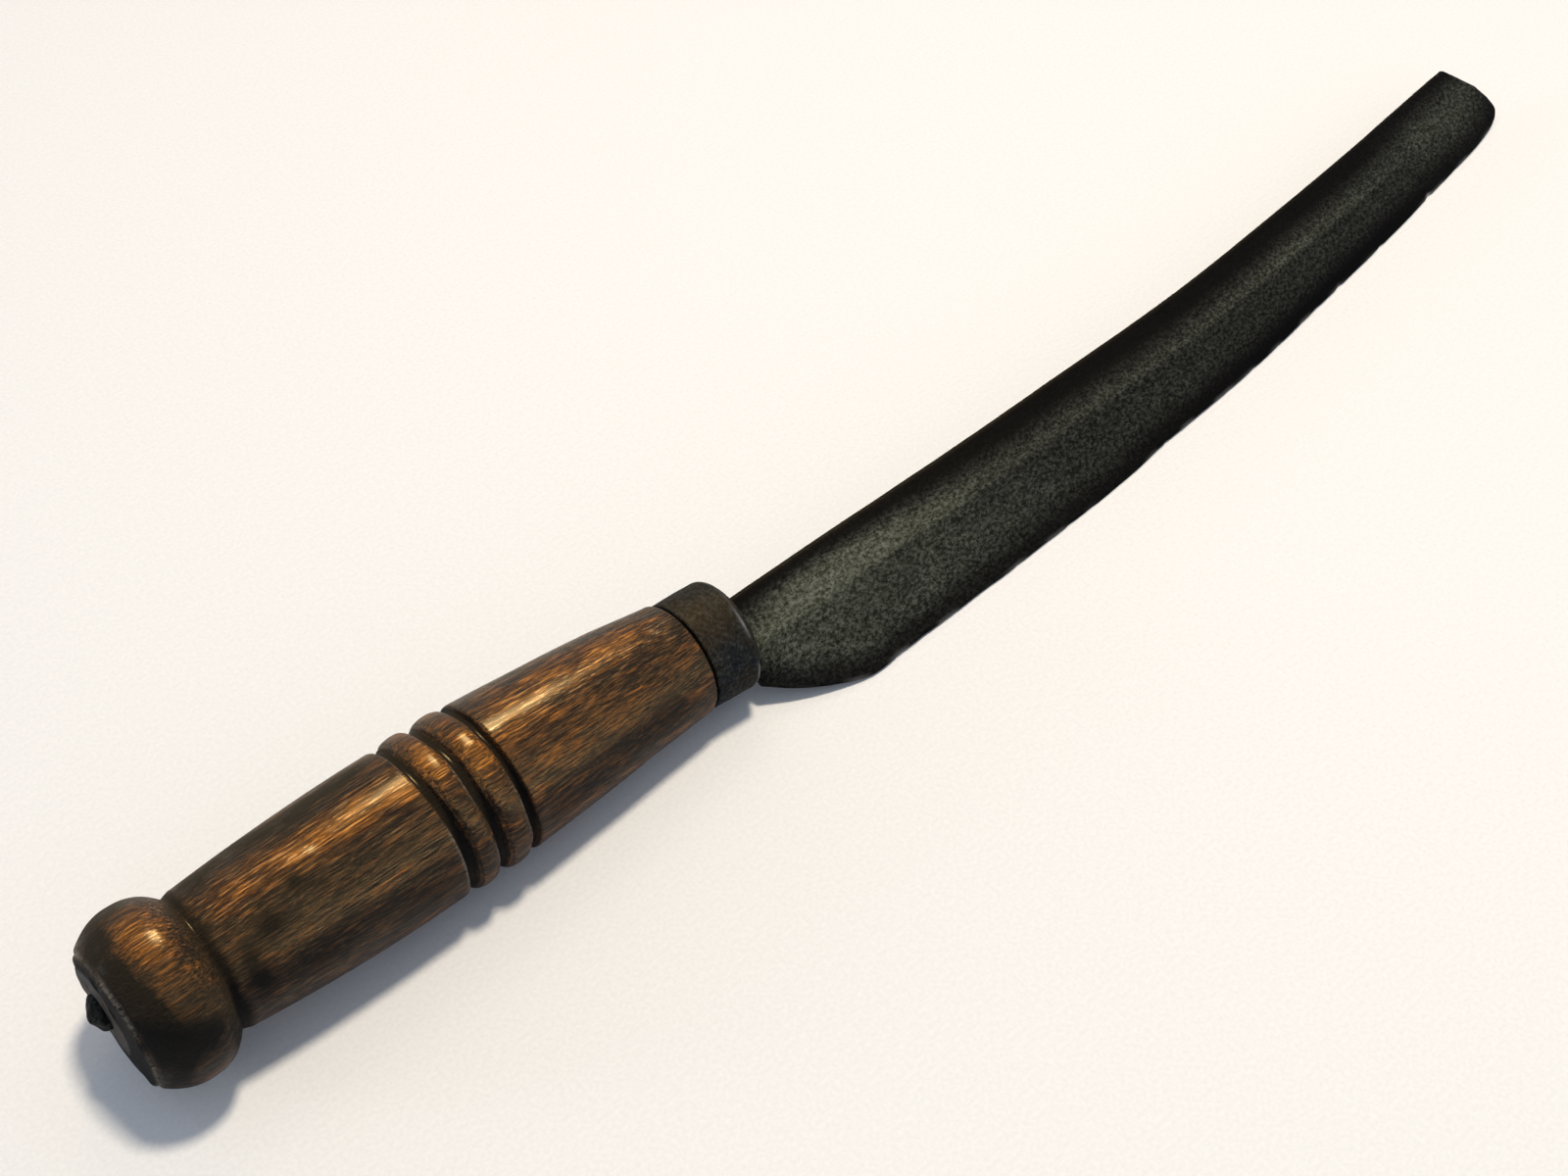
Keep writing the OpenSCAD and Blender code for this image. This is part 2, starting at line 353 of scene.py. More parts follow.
def ferrule_steel():
    """Dark grey steel, browner and lighter around the top, with a thin bright line around the front rim: worn
    steel and a painted highlight.
    """
    pale_speck, pit_black = (0.080, 0.077, 0.068), (0.0022, 0.0022, 0.0022)
    scratch_grey, bare_steel = (0.085, 0.087, 0.085), (0.27, 0.28, 0.28)

    n = Nodes("ferrule_steel")
    cloud = n.noise(n.place((0.12, 0.12, 0.12), (2, 2, 9)), detail=5, roughness=0.6)
    speck = n.noise(n.place((1.1, 1.1, 1.1)), detail=5, roughness=0.78)
    scratch = n.noise(n.place((2.4, 0.25, 0.25), (0, 3, 0)), detail=3, roughness=0.7)
    brown = n.math("ADD", cloud, n.math("MULTIPLY", n.value("brown"), 0.18))
    colour = n.ramp(brown, (0.40, (0.0085, 0.0110, 0.0150)), (0.54, (0.0145, 0.0145, 0.0125)),
                    (0.72, (0.0240, 0.0175, 0.0100)))
    colour = n.mix(n.ramp(speck, (0.48, 0.0), (0.74, 0.7)), colour, pale_speck)
    colour = n.mix(n.ramp(speck, (0.30, 0.8), (0.46, 0.0)), colour, pit_black)
    colour = n.mix(n.ramp(scratch, (0.60, 0.0), (0.80, 0.4)), colour, scratch_grey)
    # The rim's bright line: worn steel and a painted highlight.
    worn_and_glint = n.math("MULTIPLY", n.value("bare"), n.ramp(cloud, (0.35, 0.3), (0.60, 1.0)), clamp=True)
    colour = n.mix(worn_and_glint, colour, bare_steel)
    roughness = n.ramp(speck, (0.3, 0.66), (0.7, 0.50))
    return n.finish(colour, roughness, n.bump(speck, 0.10, 0.6), Specular_IOR_Level=0.02)


def rusted_washer_steel():
    """Nearly black rusted steel with a little orange rust."""
    n = Nodes("rusted_washer_steel")
    cloud = n.noise(n.place((0.35, 0.35, 0.35), (8, 0, 3)), detail=5, roughness=0.65)
    speck = n.noise(n.place((1.6, 1.6, 1.6)), detail=4, roughness=0.75)
    colour = n.ramp(cloud, (0.42, (0.0055, 0.0050, 0.0046)), (0.60, (0.0150, 0.0105, 0.0078)),
                    (0.76, (0.105, 0.040, 0.0120)))
    colour = n.mix(n.ramp(speck, (0.55, 0.0), (0.8, 0.4)), colour, (0.065, 0.055, 0.045))
    roughness = n.ramp(cloud, (0.3, 0.55), (0.7, 0.8))
    return n.finish(colour, roughness, n.bump(speck, 0.14, 0.8), Metallic=0.25, Specular_IOR_Level=0.3)


def pale_table():
    """A plain pale cloth-covered table."""
    n = Nodes("pale_table")
    source = n.tree.nodes.new("ShaderNodeTexCoord").outputs["Object"]
    weave = n.noise(source, scale=1100.0, detail=2)
    colour = n.ramp(weave, (0.3, (0.86, 0.825, 0.765)), (0.7, (0.92, 0.885, 0.825)))
    return n.finish(colour, 0.9, n.bump(weave, 0.12, 0.25), Specular_IOR_Level=0.15)


# ---------------------------------------------------------------- sizes that pieces share
TENON_R = 11.0
NOSE_FACE = WOOD_END - 0.3        # a dark hairline shows between the wood and the ferrule
FERRULE_BACK = WOOD_END + 0.35
TANG_DRIFT = 3.4                  # the riveted end is off the handle's axis, towards the blade's back
WASHER_OUT = WOOD_START - 0.8     # the washer's outer face
WASHER_R = 9.6
AROUND = 240                      # vertices around the handle and the ferrule


# ---------------------------------------------------------------- handle
POMMEL_R, POMMEL_CROWN = 18.7, -59.0
POMMEL_REAR_CURVE, POMMEL_FRONT_CURVE = 2.0, 2.8
BUTT_R, BUTT_ROUND, BUTT_DOME = 14.4, 0.8, 0.9
NECK_X, NECK_R = -49.8, 14.4
REAR_GRIP_X, REAR_GRIP_R = -47.0, 15.1
MID_GRIP_X, MID_GRIP_R = -4.0, 17.3
BEAD_R, BEAD_CROWN, BEAD_DROP = 17.55, 0.25, 0.95
BEAD_RIM_R = BEAD_R - 0.6
GROOVE_R = 15.8
GROOVES = ((0.0, 2.3), (7.6, 9.8), (15.7, 17.4))
RIM_ROUND, RIM_DROP = 0.6, 0.55   # a groove's rounded rims: along the handle, and inwards
NECK_GROOVE = (NECK_X - 1, REAR_GRIP_X)
# How far each groove, and last the neck, is shifted towards the tip, and how far it leans towards
# the butt on the side of the blade's back
GROOVE_LEAN = ((-0.5, 1.1), (-0.3, 0.8), (0.05, 0.35), (0.0, 0.0))
LEAN_TOWARDS = math.radians(8)
FRONT_GRIP_R, FRONT_GRIP_SWELL = 17.25, 0.35
NOSE_R, NOSE_ROUND = 13.25, 0.6
TANG_BORE_R = 4.6
# How far the wood stands off the CAD handle's axis, towards the blade's back
POMMEL_SHIFT, GRIP_SHIFT, NOSE_SHIFT = 0.55, 0.75, 0.20
SEAT_DEPTH = 0.8                  # the washer is let into the butt
WORN_GLINTING_RIMS = (-0.35, 7.2, 15.3)    # places of the grooves' rear rims, painted pale: rubbed wood and a painted highlight

# Where the wood is lighter, for hand polish and a painted highlight along the handle's top, and where it is
# darker, for black stains and painted shade on the lower side and at the neck: place along the handle (mm),
# place around it (degrees from the blade's back towards its bevelled face), reach both ways, strength
POLISHED_AND_HIGHLIT = (
    (-58, 66, 5, 26, 1.0),
    (-41, 66, 6, 18, 0.7), (-27, 72, 8, 14, 0.9), (-14, 70, 9, 13, 1.1), (-3, 72, 4, 14, 1.0),
    (4.5, 66, 3, 26, 1.0), (12.5, 72, 3, 28, 0.9),
    (22, 70, 8, 20, 0.85), (36, 62, 11, 18, 0.75), (52, 60, 10, 20, 0.7), (30, 110, 20, 14, 0.2),
)
STAINED_AND_SHADED = (
    (-65, 46, 2.6, 9, 1.0), (-66, 80, 1.6, 14, 0.7), (-61, 14, 6, 24, 0.9), (-57, 122, 7, 26, 0.55),
    (-65, 90, 2.8, 46, 1.1), (-64.5, 150, 2.6, 26, 0.45), (-51.5, 165, 2.2, 34, 0.7),
    (-64.5, 108, 2.6, 18, 1.0), (-62.5, 138, 2.8, 18, 0.5), (-65, 200, 3, 40, 0.7),
    (-57, 140, 4, 14, 0.5),
    (-44, 32, 4, 13, 0.9), (-35, 26, 7, 14, 0.9), (-22, 36, 9, 12, 0.9), (-10, 34, 6, 11, 0.9),
    (-30, 84, 3, 8, 0.7), (-38, 100, 4, 12, 0.8), (-44, 125, 3, 25, 0.8), (-27, 96, 4, 8, 0.5),
    (-33, 140, 8, 14, 0.5),
    (-8, 150, 9, 12, 0.4), (30, 150, 12, 12, 0.5), (52, 140, 9, 16, 0.4), (0, 270, 70, 50, 0.3),
)


def patches(places, x, degrees):
    """Soft-edged patches on the handle, added up."""
    total = np.zeros_like(x)
    for at, around, length, width, strength in places:
        away = ((x - at) / length) ** 2 + (turn(degrees, around) / width) ** 2
        total += strength * np.exp(-away)
    return np.clip(total, 0, 1.2)


def pommel_rows():
    """From the middle of the domed butt over the pommel's crown to the neck."""
    rows = [(WOOD_START - BUTT_DOME * (1 - (r / BUTT_R) ** 2), r)
            for r in spaced(0.4, BUTT_R - BUTT_ROUND, 0.35)]
    rows += rear_edge(WOOD_START - 0.1, BUTT_R, BUTT_ROUND, 15)
    for x in spaced(WOOD_START + 1.0, POMMEL_CROWN, 0.35):
        t = (POMMEL_CROWN - x) / (POMMEL_CROWN - WOOD_START)
        rows.append((x, POMMEL_R - (POMMEL_R - BUTT_R) * t ** POMMEL_REAR_CURVE))
    for x in spaced(POMMEL_CROWN + 0.3, NECK_X, 0.3):
        t = (x - POMMEL_CROWN) / (NECK_X - POMMEL_CROWN)
        rows.append((x, POMMEL_R - (POMMEL_R - NECK_R) * t ** POMMEL_FRONT_CURVE))
    return rows


def rear_grip_rows():
    """Out of the neck, then the long swell up to the first groove."""
    rows = []
    start = NECK_X + 0.2
    for t in np.linspace(0.1, 1.0, 10):
        rise = math.sin(t * math.pi / 2) ** 1.3
        rows.append((start + t * (REAR_GRIP_X - start), NECK_R + (REAR_GRIP_R - NECK_R) * rise))
    for x in spaced(REAR_GRIP_X + 0.5, GROOVES[0][0] - 0.9, 0.5):
        t = min(0.0, (x - MID_GRIP_X) / (MID_GRIP_X - REAR_GRIP_X))
        rows.append((x, MID_GRIP_R - (MID_GRIP_R - REAR_GRIP_R) * t * t))
    return rows


def groove_rows(start, end, left, right):
    """A turned groove between lands of radius left and right, with rounded rims."""
    quarter = np.linspace(0, math.pi / 2, 5)
    rows = [(start - RIM_ROUND + RIM_ROUND * math.sin(a), left - RIM_DROP * (1 - math.cos(a)))
            for a in quarter]
    for t in np.linspace(0.08, 0.92, 9):
        rim = left - RIM_ROUND + (right - left) * t
        rows.append((start + (end - start) * t, rim - (rim - GROOVE_R) * math.sin(math.pi * t) ** 0.55))
    rows += [(end + RIM_ROUND * (1 - math.cos(a)), right - RIM_DROP * (1 - math.sin(a)))
             for a in quarter]
    return rows


def bead_rows(start, end):
    """The crowned bead between a groove that ends at start and one that begins at end."""
    rows = []
    for x in spaced(start + 0.8, end - 0.75, 0.35):
        t = 2 * (x - start) / (end - start) - 1
        rows.append((x, BEAD_R + BEAD_CROWN - BEAD_DROP * abs(t) ** 2.6))
    return rows


def front_grip_rows():
    """From the last groove down to the rounded nose of the wood."""
    rows = []
    start = GROOVES[-1][1] + 0.9
    for x in spaced(start, WOOD_END - 0.9, 0.5):
        t = (x - start) / (WOOD_END - start)
        taper = FRONT_GRIP_R - (FRONT_GRIP_R - NOSE_R) * t
        rows.append((x, taper + FRONT_GRIP_SWELL * math.sin(math.pi * t)))
    return rows + front_edge(NOSE_FACE, NOSE_R, NOSE_ROUND, 16, start=10)


def tenon_rows():
    """Down the nose's face, along the tenon and down its end to the bore of the tang."""
    tenon_face = TENON_END - 0.7
    rows = [(NOSE_FACE, r) for r in spaced(NOSE_R - 0.9, TENON_R, 0.3)]
    rows += [(x, TENON_R - 0.05) for x in spaced(WOOD_END, tenon_face, 0.8)]
    return rows + [(tenon_face, r) for r in spaced(TENON_R - 0.4, TANG_BORE_R, 0.6)]


def handle_outline():
    """The turned outline as [x, radius] points from the middle of the butt to the tenon's bore."""
    rows = pommel_rows() + rear_grip_rows()
    lefts = (MID_GRIP_R - 0.05, BEAD_RIM_R, BEAD_RIM_R)
    rights = (BEAD_RIM_R, BEAD_RIM_R, FRONT_GRIP_R)
    for i, (start, end) in enumerate(GROOVES):
        rows += groove_rows(start, end, lefts[i], rights[i])
        if i + 1 < len(GROOVES):
            rows += bead_rows(end, GROOVES[i + 1][0])
    return np.array(rows + front_grip_rows() + tenon_rows())


def dent_depth(x, r, a):
    """How deep years of knocks have dented the wood, in 46 places."""
    rng = np.random.default_rng(12)
    total = np.zeros_like(x)
    for _ in range(46):
        at, around = rng.uniform(-66, 64), rng.uniform(0, 2 * math.pi)
        size, depth = rng.uniform(0.8, 3.2), rng.uniform(0.06, 0.28)
        stretch = rng.uniform(1.0, 2.2)
        away = np.hypot((x - at) / stretch, r * np.sin((a - around) / 2) * 2)
        total += depth * bump(away, 0, size)
    return total


def groove_wander(x, y, z, a):
    """How far the grooves and the neck wander, shift and lean along the handle."""
    total = np.zeros_like(x)
    for (start, end), (shift, lean) in zip((*GROOVES, NECK_GROOVE), GROOVE_LEAN):
        wander = 0.16 * waves(int(start) + 60, 9, 0.05, 0.5, y, z) + 0.12 * np.cos(a + start)
        total += bump(x, (start + end) / 2, 2.6) * (wander + shift - lean * np.cos(a - LEAN_TOWARDS))
    return total


def handle_marks(x, y, z, turned_x, r, a, on_butt):
    """Where the wood is dark with dirt and painted shade, pale with wear and a painted highlight, light with
    polish and a painted highlight, and dark with stains and painted shade, for its material.
    """
    degrees = np.degrees(a)
    patch = waves(21, 14, 0.04, 0.35, x, y, z)
    spread = waves(22, 10, 0.08, 0.5, x, y, z)

    # Dirt and painted shade: dark in the grooves, the neck and the joint with the ferrule, in a band inside
    # the butt's rim, and over the butt's face and the tenon under the ferrule.
    hollow = np.maximum(0.9 * bump(x, WOOD_END, 0.5), bump(turned_x, NECK_X + 0.7, 1.9 + 0.5 * spread))
    for start, end in GROOVES:
        width = (end - start) / 2 * (0.95 + 0.12 * spread)
        hollow = np.maximum(hollow, 1.5 * bump(turned_x, (start + end) / 2, width))
    rear = bump(x, WOOD_START + 1.5, 2.4) * smooth(degrees, 20, 60) * (1 - smooth(degrees, 150, 210))
    covered = 1.1 * on_butt + 0.9 * (x > WOOD_END - 0.1)
    grime_and_shade = np.clip(0.45 * rear + hollow * (1.0 + 0.1 * patch) + covered, 0, 1)

    # Pale lines along the butt's rim and the grooves' rear rims: worn wood and a painted highlight.
    butt_rim = np.hypot(x - WOOD_START - 0.3, r - BUTT_R + 0.1)
    wear_and_glint = 0.8 * bump(butt_rim, 0, 0.55) * smooth(patch, -1.0, 0.6)
    lower_side = 0.35 + 0.65 * smooth(degrees, 50, 100)
    for rim in WORN_GLINTING_RIMS:
        wear_and_glint = np.maximum(wear_and_glint, bump(turned_x, rim, 0.3) * smooth(patch, -0.9, 0.9) * lower_side)
    return {"grime_and_shade": grime_and_shade, "wear_and_glint": wear_and_glint, "polish_and_highlight": patches(POLISHED_AND_HIGHLIT, x, degrees),
            "stain_and_shade": patches(STAINED_AND_SHADED, x, degrees)}


def make_handle(material):
    """The turned handle, slightly out of true, with its dents, leaning grooves and washer seat."""
    outline = handle_outline()
    turned_x, r, a = lathe(outline, AROUND)
    y, z = r * np.cos(a), r * np.sin(a)
    outside = smooth(r, TENON_R + 0.3, TENON_R + 1.2) * (turned_x < WOOD_END - 0.1)
    uneven = 0.10 * np.cos(2 * a + 0.6) + 0.07 * waves(3, 10, 0.02, 0.12, turned_x, y, z)
    worn_r = r + (uneven - dent_depth(turned_x, r, a)) * outside
    y, z = worn_r * np.cos(a), worn_r * np.sin(a)

    x = turned_x + groove_wander(turned_x, y, z, a)
    y = y + GRIP_SHIFT - (GRIP_SHIFT - POMMEL_SHIFT) * smooth(-x, -NECK_X, -NECK_X + 5)
    y = y - (GRIP_SHIFT - NOSE_SHIFT) * smooth(x, 50, WOOD_END)
    on_butt = (x < WOOD_START + 0.2) & (r < BUTT_R)
    seat = 1 - smooth(np.hypot(y - TANG_DRIFT, z), WASHER_R - 0.3, WASHER_R + 0.6)
    x = x + np.where(on_butt, SEAT_DEPTH * seat, 0)
    x = x + np.where(on_butt, 0.10 * waves(8, 12, 0.2, 0.9, y, z), 0)

    points = np.column_stack([x, y, z])
    piece = mesh_object("turned_handle", points, ring_faces(len(outline), AROUND, False), "handle",
                        material)
    add_attributes(piece, points, **handle_marks(x, y, z, turned_x, r, a, on_butt))


# ---------------------------------------------------------------- ferrule
FERRULE_R, FERRULE_FRONT_R = 12.9, 13.1
FERRULE_REAR_ROUND, FERRULE_FRONT_ROUND = 0.4, 1.1
SEAM_AROUND, SEAM_DEPTH, SEAM_W = 250, 0.22, 0.35      # the forged collar's joint, on the underside
# The battered front rim is wider and set back on the side of the cutting edge, and the whole of it
# is knocked a little towards the edge and the underside
FRONT_FLARE, FRONT_SET_BACK = 0.4, 1.2
FRONT_SUNK = (0.35, 0.5)


def ferrule_outline():
    """The ferrule's outside as [x, radius] points, from its rear face to the lip of its front bore."""
    back, front = FERRULE_BACK, FERRULE_END
    rows = [(back, TENON_R), (back, FERRULE_R - 0.8)]
    rows += rear_edge(back, FERRULE_R, FERRULE_REAR_ROUND, 18)
    for x in spaced(back + 0.7, front - 1.3, 0.4):
        t = (x - back) / (front - back)
        rows.append((x, FERRULE_R + (FERRULE_FRONT_R - FERRULE_R) * t))
    rows += front_edge(front, FERRULE_FRONT_R, FERRULE_FRONT_ROUND, 11.25)
    rows += [(front, r) for r in spaced(FERRULE_FRONT_R - 1.4, TENON_R + 0.3, 0.3)]
    rows += [(front - 0.3, TENON_R), (front - 1.2, TENON_R - 0.02)]
    return np.array(rows)


def make_ferrule(material):
    """The steel collar, hammered out of round, with a seam and a battered front rim."""
    outline = ferrule_outline()
    x, r, a = lathe(outline, AROUND)
    y, z = r * np.cos(a), r * np.sin(a)
    degrees = np.degrees(a)
    outer = smooth(r, TENON_R + 0.4, TENON_R + 1.4)
    battered = smooth(x, FERRULE_BACK, FERRULE_END) * outer
    flats = 0.10 * waves(5, 12, 0.10, 0.45, x, y, z) + 0.12 * np.cos(2 * a + 1.0)
    seam = SEAM_DEPTH * bump(np.radians(turn(degrees, SEAM_AROUND)) * FERRULE_R, 0, SEAM_W)
    # A thin bright line around the front rim, fainter towards the blade's back: worn steel and a painted
    # highlight.
    bare = bump(x, FERRULE_END - 0.75, 0.35) * outer * smooth(waves(6, 12, 0.1, 0.8, x, y, z), -1.2, 0.4)
    bare = bare * (0.2 + 0.8 * smooth(degrees, 70, 120))
    # Browner and lighter around the top.
    brown = outer * bump(degrees, 70, 45)

    r = r + outer * (flats - seam) + FRONT_FLARE * battered * smooth(-np.cos(a), 0.2, 1.0)
    x = x - FRONT_SET_BACK * battered * smooth(-np.cos(a), -0.9, 0.6)
    y = r * np.cos(a) - FRONT_SUNK[0] * battered
    z = r * np.sin(a) - FRONT_SUNK[1] * battered
    points = np.column_stack([x, y, z])
    piece = mesh_object("steel_ferrule", points, ring_faces(len(outline), AROUND, False), "ferrule",
                        material)
    add_attributes(piece, points, bare=bare, brown=brown)


# ---------------------------------------------------------------- blade, tang and rivet
# The blade's outline from root to tip: the back's [x, y], then the edge's [x, y] opposite it
BLADE_STATIONS = np.array([
    [[81, 4.8], [81, -14.6]],
    [[90, 5.1], [89, -20.3]],
    [[99, 5.4], [97, -24.2]],
    [[108, 5.7], [105, -26.6]],
    [[118, 5.9], [115, -26.1]],
    [[136, 6.1], [135, -25.4]],
    [[165, 6.6], [165, -24.4]],
    [[192, 7.4], [193, -23.0]],
    [[215, 8.1], [214, -20.6]],
    [[245, 9.6], [246, -18.1]],
    [[284, 13.0], [284, -13.5]],
    [[322, 17.0], [322, -8.2]],
    [[348, 20.1], [351, -3.8]],
    [[362, 21.8], [370, -0.7]],
    [[369, 22.6], [381, 2.4]],
    [[373, 23.0], [385.8, 5.6]],
    [[374.5, 23.2], [386.5, 9.5]],
])
BLADE_T, EDGE_T = 4.4, 0.5
FLAT_W = 12.5                          # the flat strip between the back and the crease
CREASE_RISE, CREASE_FALL = 0.2, 1.4    # the crease stands up at the heel and sinks towards the tip
FLAT_HOLLOW, BEVEL_HOLLOW, UNDER_HOLLOW = 0.28, 0.22, 0.35
ROOT_X, ROOT_LOW, ROOT_HIGH = 104, 0.5, 0.8     # the forging is thicker behind ROOT_X
TIP_THINNER = 0.6
BOW, BOW_FROM, BOW_TO = 2.6, 104, 380           # the blade arches up off the table
# The back's rounded corners: how far they are drawn in, how much of the back's height the lower and
# the upper one take, and how far each face gives way to its corner and from how far away
CORNER_IN, CORNER_LOW, CORNER_HIGH = 0.35, 0.3, 0.4
UPPER_DROP, LOWER_DROP = (0.45, 0.9), (0.3, 0.8)
EDGE_ROUND = 0.12
NICKS = ((290, 1.2, 0.40), (312, 1.4, 0.35), (340, 1.3, 0.45))     # place, reach and depth
# The rounded end: how far each ring is shrunk towards its middle, and how far out it stands
TIP_ROUND = ((0.02, 0.18), (0.07, 0.34), (0.16, 0.42), (0.35, 0.45), (0.6, 0.45), (0.85, 0.45))
SIDE_POINTS = (7, 44, 4, 30)      # points on the back, the upper face, the edge and the lower face
UPPER_CROWDING = 1.15             # the upper face's points crowd towards the back
PLAIN_RUBBED = 0.15
TANG_RUBBED, TANG_FROM_EDGE = 0.3, 100.0
RIVET_H, RIVET_R = 2.4, (3.9, 3.8)
TANG_END_R = 3.0


def station_curve(column, i, f):
    """Smooth curve through one column of the stations, at station i plus fraction f."""
    last = len(BLADE_STATIONS) - 1
    p0, p1, p2, p3 = (BLADE_STATIONS[min(max(k, 0), last)][column] for k in (i - 1, i, i + 1, i + 2))
    gap = np.linalg.norm(p2 - p1)
    slope_1 = (p2 - p0) / (np.linalg.norm(p1 - p0) + gap) * gap
    slope_2 = (p3 - p1) / (np.linalg.norm(p3 - p2) + gap) * gap
    return (p1 * (2 * f ** 3 - 3 * f ** 2 + 1) + slope_1 * (f ** 3 - 2 * f ** 2 + f)
            + p2 * (3 * f ** 2 - 2 * f ** 3) + slope_2 * (f ** 3 - f ** 2))


def blade_spans():
    """Opposite points of the back and the edge, about 0.7 mm apart along the blade."""
    spans = []
    for i in range(len(BLADE_STATIONS) - 1):
        length = np.linalg.norm(BLADE_STATIONS[i + 1][0] - BLADE_STATIONS[i][0])
        steps = max(6, int(length / 0.7))
        spans += [(station_curve(0, i, k / steps), station_curve(1, i, k / steps)) for k in range(steps)]
    spans.append((BLADE_STATIONS[-1][0], BLADE_STATIONS[-1][1]))
    return spans


def box_ring(x, half_w, half_t, roundness, centre):
    """A ring across the tang: a rounded rectangle, or an oval where roundness is 1."""
    corners = ((1, -1), (1, 1), (-1, 1), (-1, -1), (1, -1))
    ring = []
    for count, a, b in zip(SIDE_POINTS, corners, corners[1:]):
        for k in range(count):
            t = k / count
            y, z = a[0] + (b[0] - a[0]) * t, a[1] + (b[1] - a[1]) * t
            size = math.hypot(y, z)
            y, z = y + (y / size - y) * roundness, z + (z / size - z) * roundness
            ring.append((x, centre + y * half_w, z * half_t, TANG_RUBBED, TANG_FROM_EDGE))
    return ring


def tang_rings():
    """The hammered rivet outside the washer, then the tang from its round end to its square root."""
    rings = []
    for a in np.linspace(0.08, 1, 9) * math.pi / 2:
        half_w, half_t = RIVET_R[0] * math.sin(a), RIVET_R[1] * math.sin(a)
        rings.append(box_ring(WASHER_OUT - RIVET_H * math.cos(a), half_w, half_t, 1.0, TANG_DRIFT))
    rings.append(box_ring(WASHER_OUT + 0.1, RIVET_R[0] - 0.1, RIVET_R[1] - 0.1, 1.0, TANG_DRIFT))
    rings.append(box_ring(WASHER_OUT + 0.2, TANG_END_R, TANG_END_R, 1.0, TANG_DRIFT))
    start, end = WASHER_OUT + 2, FERRULE_END - 0.4
    for t in np.linspace(0, 1, 30):
        half_w, half_t = TANG_END_R + t, TANG_END_R - 0.3 * t
        rings.append(box_ring(start + t * (end - start), half_w, half_t, 1 - 0.85 * t, TANG_DRIFT * (1 - t)))
    return rings


def rubbed(w, width, x):
    """How grey the upper face is, w mm from the back: the black scale rubbed grey, and a painted sheen.

    The flat strip is grey, with a painted sheen brightest next to the crease, but for a black margin along
    the back and at the root; the bevel is painted darker than the flat and darkens towards the edge, and the
    tip, where the crease has faded, is grey in its middle."""
    dark_back = 3.4 + 5.0 * float(smooth(x, 90, 200)) - 2.0 * float(smooth(x, 340, 374))
    tip = float(smooth(x, 318, 362))
    on_flat = 0.04 + 0.96 * float(smooth(w, dark_back * 0.5, min(dark_back * 1.5 + 1.5, FLAT_W - 0.5)))
    on_flat *= 1 - 0.7 * (1 - float(smooth(x, 82, 106))) * (1 - float(smooth(w, 3, 15)))
    on_bevel = 0.64 - 0.54 * float(smooth(w, width - 9, width - 1.5)) - 0.12 * float(smooth(x, 150, 300))
    past = float(smooth(w, FLAT_W - 0.3, FLAT_W + 0.5))
    faceted = on_flat * (1 - past) + on_bevel * past
    plain = 0.85 * float(smooth(w, 1.5, 10)) * (1 - float(smooth(w, width - 11, width - 1))) + 0.06
    return (faceted * (1 - tip) + plain * tip) * (1.15 - 0.55 * float(smooth(x, 95, 200)) + 0.08 * tip)


def corner_drop(w, drop, reach):
    """How far a face gives way to its rounded corner, w mm from the back."""
    return drop * max(0.0, 1 - w / reach) ** 2


def blade_ring(back, edge, shrink=0.0):
    """A ring across the blade: x, y, z, how grey it is, from rubbing and a painted sheen, and how far it is
    from the edge.
    """
    x = back[0]
    lift = BOW * math.sin(math.pi * min(max((x - BOW_FROM) / (BOW_TO - BOW_FROM), 0), 1))
    root = 1 - float(smooth(x, 80, ROOT_X))
    low = lift - BLADE_T / 2 - ROOT_LOW * root
    high = lift + BLADE_T / 2 - TIP_THINNER * float(smooth(x, 300, 375)) + ROOT_HIGH * root
    width = np.linalg.norm(edge - back)
    across = (edge - back) / width
    fade = float(smooth(x, 290, 350))
    crease = high + CREASE_RISE - CREASE_FALL * fade
    middle = (low + high) / 2
    back_low, back_high = low + CORNER_LOW, high - CORNER_HIGH
    ring = []

    def put(w, h, top=0.0):
        w, h = w + (width / 2 - w) * shrink, h + (middle - h) * shrink
        spot = back + across * w
        grey = rubbed(w, width, x) * top + PLAIN_RUBBED * (1 - top)
        ring.append((spot[0], spot[1], h, grey, width - w))

    for k in range(SIDE_POINTS[0]):
        t = k / SIDE_POINTS[0]
        put(CORNER_IN * (2 * t - 1) ** 4, back_low + (back_high - back_low) * t)
    for k in range(SIDE_POINTS[1]):
        w = width * (k / (SIDE_POINTS[1] - 1)) ** UPPER_CROWDING
        if w < FLAT_W:
            s = w / FLAT_W
            h = high + (crease - high) * s - FLAT_HOLLOW * (1 - fade) * math.sin(math.pi * s)
            h -= corner_drop(w, *UPPER_DROP)
        else:
            s = (w - FLAT_W) / (width - FLAT_W)
            h = crease + (low + EDGE_T - crease) * s - BEVEL_HOLLOW * (1 - fade) * math.sin(math.pi * s)
        put(w, h, 1.0)
    for k in range(SIDE_POINTS[2]):
        t = (k + 1) / (SIDE_POINTS[2] + 1)
        put(width + EDGE_ROUND * math.sin(math.pi * t), low + EDGE_T * (1 - t))
    for k in range(SIDE_POINTS[3]):
        t = k / (SIDE_POINTS[3] - 1)
        w = width * (1 - t)
        put(w, low + UNDER_HOLLOW * math.sin(math.pi * t) + corner_drop(w, *LOWER_DROP))
    return ring


def tip_rings(back, edge):
    """The rounded end of the blade: shrinking rings, each a little further out."""
    outward = np.array([back[1] - edge[1], edge[0] - back[0]])
    outward = outward / np.linalg.norm(outward)
    return [blade_ring(back + outward * out, edge + outward * out, shrink) for shrink, out in TIP_ROUND]


